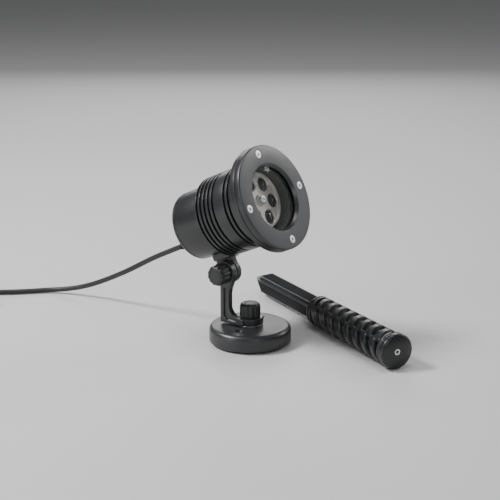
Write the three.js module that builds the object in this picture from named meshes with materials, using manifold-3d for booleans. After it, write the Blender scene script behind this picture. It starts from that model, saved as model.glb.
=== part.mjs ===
// A garden light projector: a finned aluminium lamp head on a two-way tilting bracket and a disc base,
// with its mains lead, and its loose ground stake lying beside it. Millimetres, +Z up. The origin is
// the centre of the base's underside, and the head points along -Y and upwards.
import * as THREE from "three";
import { mergeVertices } from "three/addons/utils/BufferGeometryUtils.js";
import Module from "manifold-3d";

// ---------------------------------------------------------------- driving dimensions
const GAP = 0.3; // kept between touching pieces

const BASE_RADIUS = 42;
const BASE_Z = [1.8, 18.3];
const BASE_EDGE = 5; // radius of the disc's rounded upper edge
const BASE_WEB_Z = 13.3; // underside of the cup's top
const PAD_RADIUS = 38;
const PAD_THICK = 1.5;
const MOUNT_HOLE = { from_centre: 24.5, turn: 9, radius: 2.2, sink: 4.2 };

const SHANK = 3; // radius of both clamping bolts
const BOLT_HEAD = 5.5;
const PAN_BOLT_Z = [7.5, 11.5, 39];
const WASHER_Z = [18.6, 19.6];
const BOSS_RADIUS = 13.5;
const FOOT_Z = [19.9, 26.9];
const PAN_KNOB_Z = 27.3;
const KNOB_RADIUS = 10.7;
const KNOB_LENGTH = 14;

const ARM_X = [-15, -8.7];
const LEG_Y = [16, 26.9];
const EAR_RADIUS = 12.2;
const PIVOT = { y: 22.6, z: 72.3 }; // the tilt axis runs along X through this point
const RECESS_DEPTH = 2;
const FILLET = 12; // inside corner between the leg and the foot

const HEAD_TILT = 24.2; // degrees above level
const FACE_CENTRE = [0, -31.05, 156.4]; // centre of the front flange's face
// Inside the head, Y runs back from that face and Z is up from the head's axis.
const PIVOT_S = 83.4;
const PIVOT_U = -54.7;
const LUG_X = [-7.1, -0.6];
const FLANGE_RADIUS = 53.5;
const FLANGE_BACK = 6.2;
const COLLAR_BACK = 13;
const BODY_RADIUS = 41.8;
const BODY_BACK = 71;
const FIN_GROOVES = [26.4, 31.8, 47.2, 52.6, 58, 63.3, 68.4];
const GROOVE_WIDTH = 2.4;
const GROOVE_DEPTH = 2.4;
const FACE_SCREWS = { circle: 44.7, turn: 4.3 };

const WHEEL_RISE = 2; // the wheel's axis is this far above the head's axis
const WHEEL_S = 19.5;
const LENS = { circle: 19.5, hole: 7.2, radius: 6.9, turn: 49, count: 6 };
const LED = { circle: 19.5, radius: 3.5, count: 4 };
const POST_CIRCLE = 27.3;

const REAR_RADIUS = 35.6;
const REAR_S = [71.3, 106];
const COVER_S = [106.3, 111.5];
const COVER_SCREWS = { circle: 27, turn: 45, count: 4 };
const GLAND_U = -15; // the lead leaves this far below the head's axis
const RELIEF_S = [116.3, 138];

const LEAD_RADIUS = 2.8;
const LEAD_ROUTE = [
  [0, 88.95, 86], [0.6, 102.8, 79.4], [2, 130.2, 65.9], [4, 169.1, 43.9], [6, 200.4, 28.4],
  [8, 222.5, 18.3], [7, 241.3, 11.2], [3, 263, 5.3], [-3.7, 281.1, 3.2], [-14, 290.9, 3],
  [-26.3, 301.6, 3], [-44.4, 322.6, 3], [-64.5, 348.7, 3],
];
const COIL = { x: -110, y: 341, inner: 26, outer: 43.5, height: 28.6 };
const TAIL_TURN = 160; // degrees round the coil where the lead leaves it
const TAIL_RADIUS = 40.6;
const TAIL_RUN = [22, 36]; // from the point where it leaves the coil's circle
const TAIL_HEIGHT = 6.9;
const PLUG = { length: 36, width: 26, thick: 13.5, pin_length: 19, pin_spread: 18.6 };

const STAKE_TIP = [144.7, 93.9, 14.5];
const STAKE_CAP = [17.4, -162, 17.9];
const FIN_RADIUS = 12.5;
const FIN_THICK = 4.5;
const FIN_POINT = 26;
const GRIP_START = 138.6; // from the tip
const GRIP_RADII = [16, 16.8];
const GRIP_CORE = 12.6;
const RIB_COUNT = 8;
const RIB_PITCH = 15.9;
const CAP_LENGTH = 11;
const CAP_RADIUS = 17.8;

// ---------------------------------------------------------------- materials
const paint = (color, roughness, metalness) =>
  new THREE.MeshStandardMaterial({ color, roughness, metalness });
const blackPaint = paint(0x2b2c2e, 0.45, 0.3);
const greyPaint = paint(0x4c4e51, 0.4, 0.4);
const blackPlastic = paint(0x1b1c1d, 0.5, 0);
const steel = paint(0xc9cacc, 0.3, 1);
const aluminium = paint(0xa9abad, 0.35, 1);
const rubber = paint(0x141415, 0.85, 0);
const clearGlass = paint(0xdfe6ea, 0.05, 0);
const silver = paint(0xa8a8a6, 0.3, 0.6);
const smoked = paint(0x3a3a3c, 0.08, 0);
const boardGreen = paint(0x1f5a36, 0.6, 0);

// ---------------------------------------------------------------- joining and cutting
const wasm = await Module();
wasm.setup();
const rad = THREE.MathUtils.degToRad;

function toSolid(geometry) {
  const bare = geometry.clone();
  bare.deleteAttribute("normal");
  bare.deleteAttribute("uv");
  const merged = mergeVertices(bare, 1e-4);
  return new wasm.Manifold(
    new wasm.Mesh({
      numProp: 3,
      vertProperties: new Float32Array(merged.attributes.position.array),
      triVerts: new Uint32Array(merged.index.array),
    }),
  );
}

function toGeometry(solid) {
  const mesh = solid.getMesh();
  const geometry = new THREE.BufferGeometry();
  geometry.setAttribute("position", new THREE.BufferAttribute(mesh.vertProperties, 3));
  geometry.setIndex(new THREE.BufferAttribute(mesh.triVerts, 1));
  return geometry;
}

const join = (...parts) =>
  toGeometry(parts.map(toSolid).reduce((whole, part) => whole.add(part)));
const cut = (whole, ...tools) =>
  toGeometry(tools.map(toSolid).reduce((left, tool) => left.subtract(tool), toSolid(whole)));

// ---------------------------------------------------------------- basic shapes
// A piece turned about the Y axis, from a closed outline of [radius, along] points.
function turned(outline, sides = 32) {
  const area = outline.reduce((sum, [r, along], i) => {
    const [nextR, nextAlong] = outline[(i + 1) % outline.length];
    return sum + r * nextAlong - nextR * along;
  }, 0);
  const points = area < 0 ? [...outline].reverse() : [...outline];
  const axisEdge = points.findIndex(
    ([r], i) => r === 0 && points[(i + 1) % points.length][0] === 0,
  );
  const loop = points.map((_, i) => points[(i + axisEdge + 1) % points.length]);
  if (axisEdge < 0) loop.push(loop[0]);
  return new THREE.LatheGeometry(loop.map(([r, along]) => new THREE.Vector2(r, along)), sides);
}

const standing = (outline, sides) => turned(outline, sides).rotateX(Math.PI / 2);
const sideways = (outline, sides) => turned(outline, sides).rotateZ(-Math.PI / 2);
const rod = (radius, [from, to]) => [[0, from], [radius, from], [radius, to], [0, to]];
const tube = (inner, outer, [from, to]) =>
  [[inner, from], [outer, from], [outer, to], [inner, to]];

function block([x0, x1], [y0, y1], [z0, z1]) {
  const box = new THREE.BoxGeometry(x1 - x0, y1 - y0, z1 - z0);
  return box.translate((x0 + x1) / 2, (y0 + y1) / 2, (z0 + z1) / 2);
}

const outlineOf = (points) => new THREE.Shape(points.map(([a, b]) => new THREE.Vector2(a, b)));

// A slab of even thickness along Z, from an outline in XY.
function slab(shape, [z0, z1], curveSegments = 8) {
  const made = new THREE.ExtrudeGeometry(shape, {
    depth: z1 - z0, bevelEnabled: false, curveSegments,
  });
  return made.translate(0, 0, z0);
}

// A slab of even thickness along X, from an outline in YZ.
function sideSlab(shape, x, curveSegments = 8) {
  return slab(shape, x, curveSegments).rotateX(Math.PI / 2).rotateZ(Math.PI / 2);
}

const hexagon = (radius, [z0, z1]) =>
  new THREE.CylinderGeometry(radius, radius, z1 - z0, 6)
    .rotateX(Math.PI / 2)
    .translate(0, 0, (z0 + z1) / 2);

// The point at an angle round a circle, from the first axis towards the second.
const around = (radius, degrees) => [
  radius * Math.cos(rad(degrees)),
  radius * Math.sin(rad(degrees)),
];

// Points along an arc, both ends included.
function arc([a, b], radius, from, to, steps) {
  return Array.from({ length: steps + 1 }, (_, i) => {
    const [da, db] = around(radius, from + ((to - from) * i) / steps);
    return [a + da, b + db];
  });
}

const group = new THREE.Group();
function add(parent, name, geometry, material) {
  const mesh = new THREE.Mesh(geometry, material);
  mesh.name = name;
  parent.add(mesh);
  return mesh;
}

// ---------------------------------------------------------------- base
const mountHoles = (outline) =>
  [0, 180].map((half) => {
    const [x, y] = around(MOUNT_HOLE.from_centre, MOUNT_HOLE.turn + half);
    return standing(outline, 12).translate(x, y, 0);
  });

function addBase() {
  const [floor, top] = BASE_Z;
  const wall = BASE_RADIUS - 7;
  const cup = standing([
    [wall, floor],
    [BASE_RADIUS - 2, floor],
    [BASE_RADIUS, floor + 2],
    ...arc([BASE_RADIUS - BASE_EDGE, top - BASE_EDGE], BASE_EDGE, 0, 90, 3),
    [0, top],
    [0, BASE_WEB_Z],
    [wall, BASE_WEB_Z],
  ], 40);
  const bosses = mountHoles(rod(7.5, [floor, BASE_WEB_Z + 1]));
  const hub = standing(rod(12, [floor, BASE_WEB_Z + 1]), 24);
  const pocket = hexagon(BOLT_HEAD + 0.5, [0, PAN_BOLT_Z[1] + GAP]);
  const bore = standing(rod(SHANK + GAP, [0, top + 1]), 20);
  const sunk = mountHoles([
    [0, 0], [MOUNT_HOLE.radius, 0], [MOUNT_HOLE.radius, top - 2],
    [MOUNT_HOLE.sink, top], [MOUNT_HOLE.sink, top + 1], [0, top + 1],
  ]);
  add(group, "base_disc", cut(join(cup, hub, ...bosses), pocket, bore, ...sunk), blackPaint);

  const pad = standing(rod(PAD_RADIUS, [0, PAD_THICK]), 40);
  add(group, "base_pad", cut(pad, ...mountHoles(rod(3, [-1, 3]))), rubber);

  const [headZ, shankZ, endZ] = PAN_BOLT_Z;
  const bolt = join(hexagon(BOLT_HEAD, [headZ, shankZ]), standing(rod(SHANK, [shankZ - 1, endZ]), 20));
  add(group, "pan_bolt", bolt, steel);
  add(group, "pan_washer", standing(tube(SHANK + 0.6, 12.5, WASHER_Z), 24), steel);
}

// ---------------------------------------------------------------- bracket arm and knobs
// The upright leg and its foot seen from the side: back edge, ear, inner edge, inside fillet.
function legShape() {
  const centre = [LEG_Y[0] - FILLET, FOOT_Z[1] + FILLET];
  return outlineOf([
    [LEG_Y[1], FOOT_Z[0]],
    [LEG_Y[1], PIVOT.z - 6],
    [LEG_Y[0] - 4.6, PIVOT.z - 6],
    [LEG_Y[0] - 0.4, PIVOT.z - 16],
    [LEG_Y[0], PIVOT.z - 22],
    ...arc(centre, FILLET, 0, -90, 5),
    [-2, FOOT_Z[1]],
    [-2, FOOT_Z[0]],
  ]);
}

function recessShape() {
  const centre = [LEG_Y[0] - FILLET, FOOT_Z[1] + FILLET];
  const outer = LEG_Y[1] - 4.4;
  return outlineOf([
    [outer, 57],
    [LEG_Y[0] + 2, 57],
    ...arc(centre, FILLET + 2, 0, -78, 5),
    [8, 22.4],
    [18, 22.8],
    [outer, 27],
  ]);
}

function addArm() {
  const leg = sideSlab(legShape(), ARM_X);
  const ear = sideways(rod(EAR_RADIUS, ARM_X), 32).translate(0, PIVOT.y, PIVOT.z);
  const boss = standing(rod(BOSS_RADIUS, FOOT_Z), 32);
  const web = slab(outlineOf([
    [ARM_X[0], 6], [-4, -2], [12, 5.6], [3, 13.1], [ARM_X[1], 24], [ARM_X[0], 24],
  ]), FOOT_Z);
  const recess = sideSlab(recessShape(), [ARM_X[0] - 1, ARM_X[0] + RECESS_DEPTH]);
  const panBore = standing(rod(SHANK + 0.5, [FOOT_Z[0] - 1, FOOT_Z[1] + 1]), 20);
  const tiltBore = sideways(rod(SHANK + 0.5, [ARM_X[0] - 1, ARM_X[1] + 1]), 20);
  tiltBore.translate(0, PIVOT.y, PIVOT.z);
  const arm = cut(join(leg, ear, boss, web), recess, panBore, tiltBore);
  add(group, "arm", arm, blackPaint);
}

// A moulded clamping knob along Y: twelve flutes, a domed top and a blind bore for the bolt.
function knob(boreDepth) {
  const edge = arc([KNOB_RADIUS - 3.6, KNOB_LENGTH - 3.6], 3.6, 0, 90, 3);
  const outline = [[0, 0], [KNOB_RADIUS, 0], ...edge, [0, KNOB_LENGTH]];
  const flutes = Array.from({ length: 12 }, (_, i) => {
    const [x, z] = around(KNOB_RADIUS + 0.8, 30 * i + 15);
    return turned(rod(1.5, [-1, KNOB_LENGTH - 2.4]), 6).translate(x, 0, z);
  });
  return cut(turned(outline, 24), turned(rod(SHANK + 0.4, [-1, boreDepth]), 12), ...flutes);
}

function addKnobs() {
  const pan = knob(PAN_BOLT_Z[2] - PAN_KNOB_Z + 0.5);
  add(group, "pan_knob", pan.rotateX(Math.PI / 2).translate(0, 0, PAN_KNOB_Z), blackPlastic);
  const tilt = knob(10).rotateZ(Math.PI / 2).translate(ARM_X[0] - GAP * 2, PIVOT.y, PIVOT.z);
  add(group, "tilt_knob", tilt, blackPlastic);
}

// ---------------------------------------------------------------- lamp head
const head = new THREE.Group();
head.position.set(...FACE_CENTRE);
head.rotation.x = -rad(HEAD_TILT);
group.add(head);

function addTiltJoint() {
  const place = (geometry) => geometry.translate(0, PIVOT_S, PIVOT_U);
  const housing = turned(rod(REAR_RADIUS + GAP, [0, 150]), 48);
  const eye = place(sideways(rod(12.5, LUG_X), 32));
  const tongue = block(LUG_X, [PIVOT_S - 11, PIVOT_S + 11], [PIVOT_U, -38]);
  const saddle = block([-10, 11], [PIVOT_S - 11, PIVOT_S + 11], [-41, -30]);
  const bore = place(sideways(rod(SHANK + 0.4, [-20, 20]), 20));
  const screwBores = [-6, 6].map((ds) => lugScrew(SHANK - 1.1, [-50, -30], ds));
  const lug = cut(join(eye, tongue, saddle), housing, bore, ...screwBores);
  add(head, "head_lug", lug, blackPaint);

  const nut = hexagon(BOLT_HEAD, [0, 4]).rotateY(Math.PI / 2).translate(LUG_X[1] + GAP, 0, 0);
  const shank = sideways(rod(SHANK, [-24.8, LUG_X[1] + 1]), 20);
  add(head, "tilt_bolt", place(join(nut, shank)), steel);

  const teeth = Array.from({ length: 12 }, (_, i) =>
    block([-8.05, -7], [9, 13], [-0.9, 0.9]).rotateX(rad(30 * i)),
  );
  const washer = cut(sideways(tube(SHANK + 0.6, 11.5, [-8.4, -7.4]), 24), ...teeth);
  add(head, "tilt_rosette", place(washer), steel);

  [-6, 6].forEach((ds, i) => {
    const screw = join(lugScrew(3, [-43.3, -41.3], ds), lugScrew(1.5, [-42, -33.4], ds));
    add(head, `lug_screw_${i + 1}`, screw, steel);
  });
}

// An upright rod in the head, beside the lug's tongue.
const lugScrew = (radius, u, ds) => standing(rod(radius, u), 14).translate(6, PIVOT_S + ds, 0);

function grooves() {
  return FIN_GROOVES.flatMap((s) => [
    [BODY_RADIUS, s - GROOVE_WIDTH / 2],
    [BODY_RADIUS - GROOVE_DEPTH, s],
    [BODY_RADIUS, s + GROOVE_WIDTH / 2],
  ]);
}

const faceScrewRods = (outline, sides) =>
  [0, 90, 180, 270].map((quarter) => {
    const [x, u] = around(FACE_SCREWS.circle, FACE_SCREWS.turn + quarter);
    return turned(outline, sides).translate(x, 0, u);
  });

function addBody() {
  const body = turned([
    [36, FLANGE_BACK + GAP],
    [FLANGE_RADIUS + 0.1, FLANGE_BACK + GAP],
    [FLANGE_RADIUS + 0.1, COLLAR_BACK - 2],
    [FLANGE_RADIUS - 2, COLLAR_BACK],
    [BODY_RADIUS + 1.5, COLLAR_BACK],
    [BODY_RADIUS, COLLAR_BACK + 1.5],
    ...grooves(),
    [BODY_RADIUS, BODY_BACK],
    [5, BODY_BACK],
    [5, 66],
    [37.5, 66],
    [37.5, 24],
    [32, 24],
    [32, 8.6],
    [36, 8.6],
  ], 30);
  add(head, "body_tube", cut(body, ...faceScrewRods(rod(2.2, [0, 12]), 10)), blackPaint);

  const flange = turned([
    [34.6, 0], [51.8, 0], [53, 0.6], [FLANGE_RADIUS, 1.8], [FLANGE_RADIUS, FLANGE_BACK],
    [36, FLANGE_BACK], [36, 3.2], [32, 3.2], [32, 2.6],
  ], 40);
  const sink = [[0, -1], [4.4, -1], [4.4, 0.2], [2.2, 2.6], [2.2, 8], [0, 8]];
  add(head, "front_flange", cut(flange, ...faceScrewRods(sink, 14)), greyPaint);

  const screw = [[0, 0.3], [4, 0.3], [4, 0.5], [1.8, 2.8], [1.8, 11.6], [0, 11.6]];
  faceScrewRods(screw, 10).forEach((made, i) => {
    const [x, u] = around(FACE_SCREWS.circle, FACE_SCREWS.turn + 90 * i);
    const socket = turned(rod(1.45, [-1, 2.1]), 6).translate(x, 0, u);
    add(head, `flange_screw_${i + 1}`, cut(made, socket), steel);
  });
  add(head, "window_glass", turned(rod(35.6, [3.5, 6]), 40), clearGlass);
  add(head, "window_gasket", turned(tube(32.2, 35.6, [6.3, 8.3]), 28), rubber);
}

function addWheel() {
  const raise = (geometry) => geometry.translate(0, 0, WHEEL_RISE);
  const plate = turned([
    [1.8, WHEEL_S - 2.2], [6, WHEEL_S - 2.2], [6, WHEEL_S], [27, WHEEL_S], [27, WHEEL_S - 2],
    [29, WHEEL_S - 2], [29, WHEEL_S + 3], [1.8, WHEEL_S + 3],
  ], 30);
  const spots = Array.from({ length: LENS.count }, (_, i) =>
    around(LENS.circle, LENS.turn + (360 / LENS.count) * i),
  );
  const holes = spots.map(([x, u]) => turned(rod(LENS.hole, [0, 40]), 14).translate(x, 0, u));
  add(head, "lens_wheel", raise(cut(plate, ...holes)), silver);
  const dome = [
    [0, WHEEL_S - 1.6], [3.6, WHEEL_S - 1.1], [6, WHEEL_S + 0.1],
    [LENS.radius, WHEEL_S + 1.4], [LENS.radius, WHEEL_S + 2.8], [0, WHEEL_S + 2.8],
  ];
  spots.forEach(([x, u], i) => {
    add(head, `wheel_lens_${i + 1}`, raise(turned(dome, 12).translate(x, 0, u)), smoked);
  });
  const screw = [[0, 14.8], [3.2, 14.8], [4.8, 15.6], [4.8, 17], [1.5, 17], [1.5, 19.4], [0, 19.4]];
  add(head, "wheel_screw", raise(turned(screw, 20)), steel);
  const motor = [[0, 19.8], [1.5, 19.8], [1.5, 25], [11.5, 25], [11.5, 43], [0, 43]];
  add(head, "wheel_motor", raise(turned(motor, 24)), steel);
}

const posts = (outline) =>
  [90, 210, 330].map((turn) => {
    const [x, u] = around(POST_CIRCLE, turn);
    return turned(outline, 10).translate(x, 0, u);
  });
const ledSpots = Array.from({ length: LED.count }, (_, i) =>
  around(LED.circle, 45 + (360 / LED.count) * i),
);

function addOptics() {
  const plateS = [43.4, 45.4];
  const windows = ledSpots.map(([x, u]) => turned(rod(6, [40, 50]), 14).translate(x, 0, u));
  const legs = posts([[0, 45], [3, 45], [3, 49.7], [2.2, 49.7], [2.2, 63.4], [0, 63.4]]);
  const bracket = cut(join(turned(rod(31, plateS), 24), ...legs), ...windows);
  add(head, "motor_bracket", bracket, aluminium);
  const holes = posts(rod(2.6, [40, 60]));
  add(head, "condenser_plate", cut(turned(rod(30.5, [50, 53]), 24), ...holes), clearGlass);
  add(head, "led_board", turned(tube(5, 31, [63.8, 65.4]), 24), boardGreen);
  const dome = [[0, 60], [2.4, 60.6], [LED.radius, 62.4], [LED.radius, 63.4], [0, 63.4]];
  ledSpots.forEach(([x, u], i) => {
    add(head, `led_${i + 1}`, turned(dome, 10).translate(x, 0, u), clearGlass);
  });
}

const coverScrewRods = (outline, sides) =>
  Array.from({ length: COVER_SCREWS.count }, (_, i) => {
    const turn = COVER_SCREWS.turn + (360 / COVER_SCREWS.count) * i;
    const [x, u] = around(COVER_SCREWS.circle, turn);
    return turned(outline, sides).translate(x, 0, u);
  });

function addRear() {
  const [front, back] = REAR_S;
  const shell = turned([
    [5, front], [REAR_RADIUS, front], [REAR_RADIUS, back], [REAR_RADIUS - 2.5, back],
    [REAR_RADIUS - 2.5, front + 2.7], [5, front + 2.7],
  ], 28);
  const pillars = coverScrewRods(rod(6.4, [front + 1, back]), 10);
  const bores = coverScrewRods(rod(1.8, [back - 13, back + 1]), 10);
  const lugBores = [-6, 6].map((ds) => lugScrew(1.9, [-40, -31], ds));
  const rear = cut(join(shell, ...pillars), ...bores, ...lugBores);
  add(head, "rear_housing", rear, blackPaint);

  const [inside, outside] = COVER_S;
  const lid = turned([
    [0, inside], [REAR_RADIUS, inside],
    ...arc([REAR_RADIUS - 4, outside - 4], 4, 0, 90, 3),
    [0, outside],
  ], 28);
  const counterbores = coverScrewRods([
    [0, inside - 1], [2, inside - 1], [2, outside - 2.6], [3.7, outside - 2.6],
    [3.7, outside + 1], [0, outside + 1],
  ], 10);
  const wireHole = turned(rod(3.4, [inside - 1, outside + 1]), 14).translate(0, 0, GLAND_U);
  add(head, "rear_cover", cut(lid, wireHole, ...counterbores), blackPaint);
  const screw = [[0, back - 12], [1.5, back - 12], [1.5, outside - 2.3], [3.3, outside - 2.3],
    [3.3, outside - 0.4], [0, outside - 0.4]];
  coverScrewRods(screw, 10).forEach((made, i) => {
    add(head, `rear_cover_screw_${i + 1}`, made, steel);
  });

  add(head, "driver_board", block([-13, 13], [76, 103], [-8, -6.4]), boardGreen);
  add(head, "driver_transformer", block([-8, 5], [80, 96], [-6.1, 8]), blackPlastic);
  add(head, "radio_module", block([6.5, 12.5], [78, 98], [-6.1, -3]), boardGreen);

  const gland = turned([
    [0, outside + GAP], [8.6, outside + GAP], [8.6, 115], [7.6, 116], [0, 116],
  ], 24);
  add(head, "cable_gland", gland.translate(0, 0, GLAND_U), blackPlastic);
  const relief = turned([
    [0, RELIEF_S[0]], [6, RELIEF_S[0]], [5.6, RELIEF_S[0] + 4], [3.6, RELIEF_S[1]], [0, RELIEF_S[1]],
  ], 16);
  add(head, "strain_relief", relief.translate(0, 0, GLAND_U), rubber);
}

// ---------------------------------------------------------------- mains lead
// A round lead swept along a curve, its section an octagon of the lead's own width.
function lead(curve, steps) {
  const sides = 8;
  const section = Array.from({ length: sides }, (_, i) => around(LEAD_RADIUS, (360 / sides) * (i + 0.5)));
  return new THREE.ExtrudeGeometry(outlineOf(section), {
    extrudePath: curve, steps, curveSegments: 1,
  });
}

function addLead() {
  const route = new THREE.CatmullRomCurve3(LEAD_ROUTE.map((p) => new THREE.Vector3(...p)));
  add(group, "power_lead", lead(route, 30), rubber);

  const ring = standing(tube(COIL.inner, COIL.outer, [0, COIL.height]), 32);
  add(group, "lead_coil", ring.translate(COIL.x, COIL.y, 0), rubber);

  const tail = new THREE.Group();
  const [outX, outY] = around(TAIL_RADIUS, TAIL_TURN);
  tail.position.set(COIL.x + outX, COIL.y + outY, TAIL_HEIGHT);
  tail.rotation.z = rad(TAIL_TURN); // local Y then points along the lead as it leaves the coil
  group.add(tail);
  add(tail, "lead_tail", turned(rod(LEAD_RADIUS, TAIL_RUN), 12), rubber);

  const start = TAIL_RUN[1] + GAP;
  const boot = turned([[0, start], [3.6, start], [5.5, start + 12], [0, start + 12]], 16);
  const back = start + 10;
  const face = back + PLUG.length - 10;
  const half = PLUG.width / 2;
  const shape = outlineOf([
    [-6, back], [6, back], [half, back + 9], [half, face], [-half, face], [-half, back + 9],
  ]);
  const body = slab(shape, [-PLUG.thick / 2, PLUG.thick / 2]);
  add(tail, "plug_body", join(boot, body), blackPlastic);
  [-0.5, 0.5].forEach((side, i) => {
    const pin = turned(rod(2, [face + GAP, face + PLUG.pin_length]), 12);
    add(tail, `plug_pin_${i + 1}`, pin.translate(side * PLUG.pin_spread, 0, 0), steel);
  });
}

// ---------------------------------------------------------------- ground stake
function addStake() {
  const tip = new THREE.Vector3(...STAKE_TIP);
  const cap = new THREE.Vector3(...STAKE_CAP);
  const length = tip.distanceTo(cap);
  const along = cap.clone().sub(tip).normalize();
  const across = new THREE.Vector3().crossVectors(along, new THREE.Vector3(0, 0, 1)).normalize();
  const up = new THREE.Vector3().crossVectors(across, along);
  const stake = new THREE.Group();
  stake.applyMatrix4(new THREE.Matrix4().makeBasis(across, along, up).setPosition(tip));
  group.add(stake);

  const fins = [45, 135].map((turn) =>
    slab(outlineOf([
      [-0.8, 0], [0.8, 0], [FIN_RADIUS, FIN_POINT], [FIN_RADIUS, GRIP_START + 2],
      [-FIN_RADIUS, GRIP_START + 2], [-FIN_RADIUS, FIN_POINT],
    ]), [-FIN_THICK / 2, FIN_THICK / 2]).rotateY(rad(turn)),
  );
  const capStart = length - CAP_LENGTH;
  const radiusAt = (along) =>
    GRIP_RADII[0] + ((GRIP_RADII[1] - GRIP_RADII[0]) * (along - GRIP_START)) / (capStart - GRIP_START);
  const ribs = Array.from({ length: RIB_COUNT }, (_, i) => {
    const middle = GRIP_START + 11 + RIB_PITCH * (i + 0.25);
    return [
      [GRIP_CORE, middle - 5], [radiusAt(middle), middle - 2.6],
      [radiusAt(middle), middle + 2.6], [GRIP_CORE, middle + 5],
    ];
  }).flat();
  const grip = turned([
    [0, GRIP_START], [GRIP_RADII[0] - 1, GRIP_START], [GRIP_RADII[0], GRIP_START + 1],
    [GRIP_RADII[0], GRIP_START + 7], [GRIP_CORE, GRIP_START + 8.6],
    ...ribs,
    [GRIP_CORE, capStart - 4], [CAP_RADIUS - 1, capStart], [CAP_RADIUS, capStart + 2],
    [CAP_RADIUS, length - 1.2], [CAP_RADIUS - 1.2, length], [0, length],
  ], 20);
  const socket = turned(rod(3.5, [length - 14, length + 1]), 16);
  add(stake, "stake_body", cut(join(...fins, grip), socket), blackPlastic);
  const insert = turned(tube(1.7, 3.2, [length - 12, length - 0.2]), 16);
  add(stake, "stake_insert", insert, steel);
}

addBase();
addArm();
addKnobs();
addTiltJoint();
addBody();
addWheel();
addOptics();
addRear();
addLead();
addStake();
export default group;
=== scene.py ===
"""A garden light projector: a finned lamp head on a tilting bracket, its lead and its ground stake."""

import math

import bmesh
import bpy
import numpy as np
from mathutils import Matrix, Vector


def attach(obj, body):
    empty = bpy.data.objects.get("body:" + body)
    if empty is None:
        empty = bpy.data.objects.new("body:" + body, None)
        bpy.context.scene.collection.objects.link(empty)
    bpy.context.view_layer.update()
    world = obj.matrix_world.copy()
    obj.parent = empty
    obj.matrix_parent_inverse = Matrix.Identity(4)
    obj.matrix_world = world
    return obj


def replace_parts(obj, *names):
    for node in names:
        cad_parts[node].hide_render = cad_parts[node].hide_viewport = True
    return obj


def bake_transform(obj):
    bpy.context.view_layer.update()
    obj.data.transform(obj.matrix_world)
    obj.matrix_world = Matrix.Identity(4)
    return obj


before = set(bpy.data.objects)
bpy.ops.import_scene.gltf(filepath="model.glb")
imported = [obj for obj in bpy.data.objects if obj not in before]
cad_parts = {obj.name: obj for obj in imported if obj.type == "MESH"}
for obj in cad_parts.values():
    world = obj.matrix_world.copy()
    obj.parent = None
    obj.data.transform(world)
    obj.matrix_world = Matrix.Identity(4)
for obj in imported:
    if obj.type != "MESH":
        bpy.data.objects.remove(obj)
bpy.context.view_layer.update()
MM = 0.001

# ---------------------------------------------------------------- camera
# A long lens about 1.2 m from the lamp and a little above it, in front of the lamp's right side, so
# the flange's face, the fins and the tilt knob all show.
CAMERA_PLACE = (-0.9429, -0.6776, 0.4295)
CAMERA_AIM = (0.7806, 0.5611, -0.2753)
camera_data = bpy.data.cameras.new("camera")
camera_data.sensor_width = 36
camera_data.lens = 86.4
camera_data.clip_start = 0.01
camera = bpy.data.objects.new("camera", camera_data)
camera.location = CAMERA_PLACE
camera.rotation_euler = Vector(CAMERA_AIM).to_track_quat("-Z", "Y").to_euler()
bpy.context.collection.objects.link(camera)
bpy.context.scene.camera = camera

# ---------------------------------------------------------------- floor and studio light
# A pale seamless floor. Seen from the camera, the soft key is high on the left, and weak lights from
# above and in front fill its shadows. Two cards on the right shine in the flange's face, a wide card
# behind lights the tops, and a narrow strip draws the left edges.
def rgb(hexadecimal):
    """The linear colour of an sRGB hex value such as "8a7f70"."""
    channels = [int(hexadecimal[i : i + 2], 16) / 255 for i in (0, 2, 4)]
    return [c / 12.92 if c <= 0.04045 else ((c + 0.055) / 1.055) ** 2.4 for c in channels]


def material(name, colour, roughness, metallic=0.0, **sockets):
    """A new material, with these values set on its Principled shader's own sockets."""
    made = bpy.data.materials.new(name)
    made.use_nodes = True
    shader = made.node_tree.nodes["Principled BSDF"]
    shader.inputs["Base Color"].default_value = [*rgb(colour), 1]
    shader.inputs["Roughness"].default_value = roughness
    shader.inputs["Metallic"].default_value = metallic
    for socket, value in sockets.items():
        shader.inputs[socket.replace("_", " ")].default_value = value
    return made


def node(made, kind, settings=(), **links):
    """Adds a node to a material, sets its values, and links its inputs from other nodes' outputs."""
    new = made.node_tree.nodes.new("ShaderNode" + kind)
    for key, value in dict(settings).items():
        if hasattr(new, key):
            setattr(new, key, value)
        else:
            new.inputs[key].default_value = value
    for socket, source in links.items():
        made.node_tree.links.new(source, new.inputs[socket.replace("_", " ")])
    return new


def wire(made, source, socket):
    """Links an output to a socket of the material's Principled shader."""
    made.node_tree.links.new(source, made.node_tree.nodes["Principled BSDF"].inputs[socket])


FLOOR_SIZE = 24.0
FLOOR_DROP = 0.0002  # keeps the floor just clear of the rubber pad's face
floor_mesh = bpy.data.meshes.new("floor")
corners = np.array([(-1, -1), (1, -1), (1, 1), (-1, 1)]) * FLOOR_SIZE / 2
floor_mesh.from_pydata([(x, y, -FLOOR_DROP) for x, y in corners], [], [(0, 1, 2, 3)])
floor = bpy.data.objects.new("floor", floor_mesh)
floor_mesh.materials.append(material("matt_paper_sweep", "c9c9c8", 0.6))
bpy.context.collection.objects.link(floor)


LAMP_MIDDLE = (0, 0.02, 0.12)


def soft_light(name, place, size, watts):
    """A rectangular area light at a place, turned to face the middle of the lamp."""
    data = bpy.data.lights.new(name, "AREA")
    data.shape = "RECTANGLE"
    data.size, data.size_y = size
    data.energy = watts
    light = bpy.data.objects.new(name, data)
    light.location = place
    light.rotation_euler = (Vector(LAMP_MIDDLE) - Vector(place)).to_track_quat("-Z", "Y").to_euler()
    bpy.context.collection.objects.link(light)


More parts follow.
